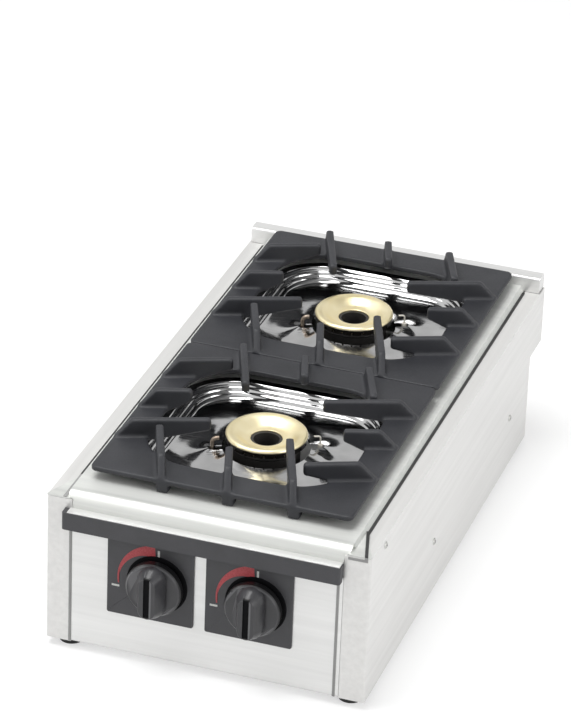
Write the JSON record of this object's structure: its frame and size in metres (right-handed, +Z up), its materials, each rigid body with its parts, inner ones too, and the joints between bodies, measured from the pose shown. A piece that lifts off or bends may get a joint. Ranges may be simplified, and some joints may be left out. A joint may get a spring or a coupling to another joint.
{
  "type": "countertop gas stove",
  "caption": "Countertop gas stove with burners one behind the other, lift-off cast pinwheel grates, drip pans and burner rings, push-and-turn knobs and a stainless housing with a rear hood.",
  "frame": {"origin": "on the counter under the middle of the whole stove, knobs included", "axes": "+X to the user's right, +Y from the knobs to the rear, +Z up"},
  "size_m": [0.3032, 0.59, 0.191],
  "materials": {
    "stainless": "light stainless sheet with a fine grain and a soft shine",
    "dark_trim": "charcoal painted steel, satin",
    "rubber_feet": "black rubber, dull",
    "screws": "plain steel screw heads",
    "gas_pipe": "plain steel tube",
    "brass_fittings": "turned brass",
    "knob_plastic": "black moulded plastic, fine matt texture",
    "stem_steel": "turned steel",
    "valve_metal": "die-cast light metal",
    "igniter_plastic": "pale moulded plastic",
    "burner_iron": "cast iron with a dark heat-proof coat",
    "shutter_steel": "thin plated steel",
    "burner_ring": "pale brass casting, machined top",
    "rail_steel": "plain steel strip",
    "electrode_ceramic": "white glazed ceramic",
    "probe_steel": "heat-tinted steel",
    "polished_pan": "polished stainless dish",
    "grate_iron": "cast iron with satin charcoal enamel"
  },
  "bodies": {
    "stove": {"back_panel": "stainless", "base_plate": "stainless", "feet": "rubber_feet", "front_burner_body": "burner_iron", "front_burner_rail": "rail_steel", "front_electrode": "electrode_ceramic", "front_flame_probe": "probe_steel", "front_panel": "stainless", "gas_inlet": "brass_fittings", "gas_manifold": "gas_pipe", "housing_screws": "screws", "left_control_plate": "dark_trim", "left_igniter_unit": "igniter_plastic", "left_injector": "brass_fittings", "left_side_panel": "stainless", "left_valve_body": "valve_metal", "left_valve_bonnet": "valve_metal", "rear_burner_body": "burner_iron", "rear_burner_rail": "rail_steel", "rear_electrode": "electrode_ceramic", "rear_flame_probe": "probe_steel", "rear_hood": "stainless", "right_control_plate": "dark_trim", "right_igniter_unit": "igniter_plastic", "right_injector": "brass_fittings", "right_side_panel": "stainless", "right_valve_body": "valve_metal", "right_valve_bonnet": "valve_metal", "top_plate": "stainless", "trim_bar": "dark_trim"},
    "left_plug": {"left_valve_plug": "brass_fittings"},
    "left_control": {"left_knob": "knob_plastic", "left_stem": "stem_steel"},
    "right_plug": {"right_valve_plug": "brass_fittings"},
    "right_control": {"right_knob": "knob_plastic", "right_stem": "stem_steel"},
    "front_shutter": {"front_air_shutter": "shutter_steel"},
    "front_ring": {"front_burner_ring": "burner_ring"},
    "front_pan": {"front_drip_pan": "polished_pan"},
    "front_pot_grate": {"front_grate": "grate_iron"},
    "rear_shutter": {"rear_air_shutter": "shutter_steel"},
    "rear_ring": {"rear_burner_ring": "burner_ring"},
    "rear_pan": {"rear_drip_pan": "polished_pan"},
    "rear_pot_grate": {"rear_grate": "grate_iron"}
  },
  "joints": [
    {"name": "left_valve_turn", "type": "hinge", "parent": "stove", "child": "left_plug", "pos_m": [-0.0445, -0.265, 0.0865], "axis": [0, -1, 0], "range_deg": [0, 90]},
    {"name": "left_knob_push", "type": "slide", "parent": "left_plug", "child": "left_control", "axis": [0, 1, 0], "range_m": [0, 0.0035], "stiffness_N_per_m": 500},
    {"name": "right_valve_turn", "type": "hinge", "parent": "stove", "child": "right_plug", "pos_m": [0.0475, -0.265, 0.0865], "axis": [0, -1, 0], "range_deg": [0, 90]},
    {"name": "right_knob_push", "type": "slide", "parent": "right_plug", "child": "right_control", "axis": [0, 1, 0], "range_m": [0, 0.0035], "stiffness_N_per_m": 500},
    {"name": "front_shutter_turn", "type": "hinge", "parent": "stove", "child": "front_shutter", "pos_m": [-0.0445, -0.205, 0.0865], "axis": [0, 1, 0], "range_deg": [0, 50]},
    {"name": "front_ring_lift", "type": "slide", "parent": "stove", "child": "front_ring", "axis": [0, 0, 1], "range_m": [0, 0.04]},
    {"name": "front_grate_lift", "type": "slide", "parent": "stove", "child": "front_pot_grate", "axis": [0, 0, 1], "range_m": [0, 0.08]},
    {"name": "front_pan_lift", "type": "slide", "parent": "stove", "child": "front_pan", "axis": [0, 0, 1], "range_m": [0, 0.04]},
    {"name": "rear_shutter_turn", "type": "hinge", "parent": "stove", "child": "rear_shutter", "pos_m": [0.0475, -0.205, 0.0865], "axis": [0, 1, 0], "range_deg": [0, 50]},
    {"name": "rear_ring_lift", "type": "slide", "parent": "stove", "child": "rear_ring", "axis": [0, 0, 1], "range_m": [0, 0.04]},
    {"name": "rear_grate_lift", "type": "slide", "parent": "stove", "child": "rear_pot_grate", "axis": [0, 0, 1], "range_m": [0, 0.08]},
    {"name": "rear_pan_lift", "type": "slide", "parent": "stove", "child": "rear_pan", "axis": [0, 0, 1], "range_m": [0, 0.04]}
  ],
  "couplings": [
    {"joint": "front_pan_lift", "follows": "front_grate_lift", "ratio": 0.5},
    {"joint": "rear_pan_lift", "follows": "rear_grate_lift", "ratio": 0.5}
  ]
}
